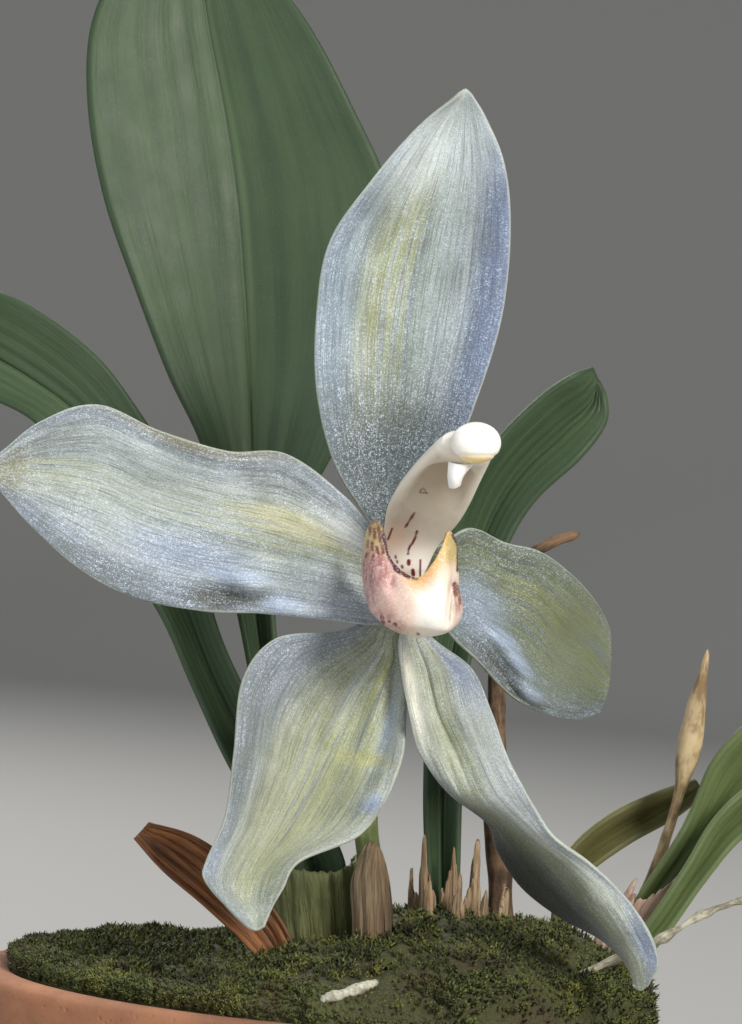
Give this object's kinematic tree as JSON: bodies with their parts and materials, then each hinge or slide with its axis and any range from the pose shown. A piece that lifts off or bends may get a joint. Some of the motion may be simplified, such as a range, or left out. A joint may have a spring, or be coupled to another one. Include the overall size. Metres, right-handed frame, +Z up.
{
  "type": "potted orchid",
  "caption": "Small orchid with one large pale flower over a fan of green leaves, growing through moss in a round clay pot.",
  "frame": {"origin": "middle of the pot's flat underside", "axes": "+Z up along the pot's axis, -Y towards the flower's face, +X to the right as seen from the front"},
  "size_m": [0.0833, 0.0554, 0.1379],
  "materials": {
    "terracotta": "unglazed fired clay, matte",
    "bark_mix": "loose dark bark and coir, matte",
    "moss": "living moss, deep matte pile",
    "leaf": "living leaf, satin",
    "green_sheath": "living sheath, satin",
    "dry_sheath": "dead papery fibre, matte",
    "dry_leaf": "dead leaf, rust brown, matte",
    "tepal": "waxy greenish white petal, sparkling satin",
    "lip": "waxy cream and pink lip, satin",
    "column": "waxy cream, satin",
    "dry_stalk": "dead woody stalk, matte",
    "flower_stalk": "living stalk, satin",
    "root": "bare root, chalky matte"
  },
  "bodies": {
    "root": {"pot": "terracotta", "potting_mix": "bark_mix", "moss": "moss", "leaf_rear": "leaf", "leaf_left": "leaf", "leaf_right": "leaf", "shoot_leaf_upper": "leaf", "shoot_leaf_lower": "leaf", "shoot_leaf_olive": "leaf", "leaf_sheath_green": "green_sheath", "dry_sheath_inner": "dry_sheath", "dry_sheath_outer": "dry_sheath", "shoot_sheath": "dry_sheath", "dry_leaf": "dry_leaf", "papery_bract": "dry_sheath", "flower_stalk": "flower_stalk", "dry_stalk": "dry_stalk", "dry_bud_stalk": "dry_stalk", "aerial_root": "root", "root_stub": "root", "sepal_dorsal": "tepal", "petal_left": "tepal", "petal_right": "tepal", "sepal_left": "tepal", "sepal_right": "tepal", "lip": "lip", "column": "column", "anther_cap": "column", "beak_flap": "column"}
  },
  "joints": []
}
